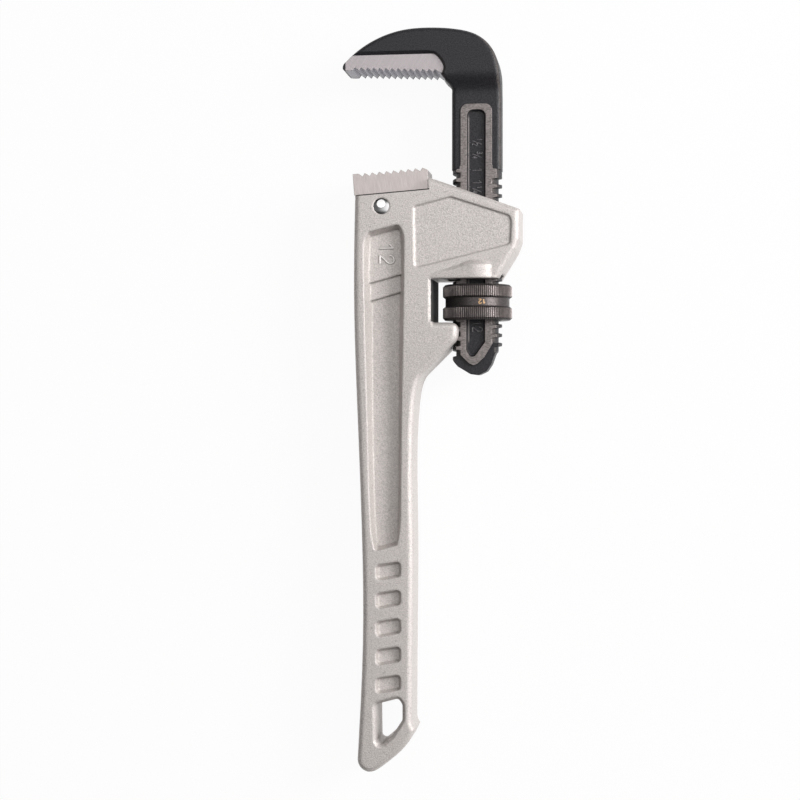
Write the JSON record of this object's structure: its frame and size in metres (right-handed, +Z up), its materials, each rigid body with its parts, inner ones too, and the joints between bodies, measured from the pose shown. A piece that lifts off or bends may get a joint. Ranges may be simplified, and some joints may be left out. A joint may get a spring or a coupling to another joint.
{
  "type": "pipe wrench",
  "caption": "Heavy-duty pipe wrench: straight I-beam handle, toothed heel jaw, and a toothed hook jaw whose threaded shank a knurled nut runs in and out of the head.",
  "frame": {"origin": "centre of the wrench's bounding box in X and Y, on the table it lies on", "axes": "+Y along the handle from the hanging hole to the jaws, +X from the heel jaw's side to the open side of the nut window, +Z up through the thickness"},
  "size_m": [0.0726, 0.3032, 0.0284],
  "materials": {
    "handle": "satin, fine cast grain",
    "heel_jaw": "ground",
    "heel_jaw_pin": "polished",
    "hook_jaw": "black, satin, fine forged grain",
    "adjusting_nut": "dark oxide, knurled",
    "flat_spring": "spring steel",
    "coil_spring": "spring steel"
  },
  "bodies": {
    "handle_body": {"handle": "handle", "heel_jaw": "heel_jaw", "heel_jaw_pin": "heel_jaw_pin", "coil_spring": "coil_spring"},
    "rocker": {"flat_spring": "flat_spring"},
    "hook": {"hook_jaw": "hook_jaw"},
    "nut": {"adjusting_nut": "adjusting_nut"}
  },
  "joints": [
    {"name": "hook_rock", "type": "hinge", "parent": "handle_body", "child": "rocker", "pos_m": [0.01831, 0.03979, 0.0142], "axis": [0, 0, 1], "range_deg": [0, 2.5], "stiffness_Nm_per_rad": 3, "springref_deg": -11.46, "deforming": ["coil_spring"]},
    {"name": "jaw_slide", "type": "slide", "parent": "rocker", "child": "hook", "axis": [0, 1, 0], "range_m": [-0.037, 0.022]},
    {"name": "nut_spin", "type": "hinge", "parent": "rocker", "child": "nut", "pos_m": [0.01831, 0.03979, 0.0142], "axis": [0, 1, 0], "range_deg": [-2200, 3600]}
  ],
  "couplings": [
    {"joint": "nut_spin", "follows": "jaw_slide", "rad_per_m": -1653.5}
  ]
}
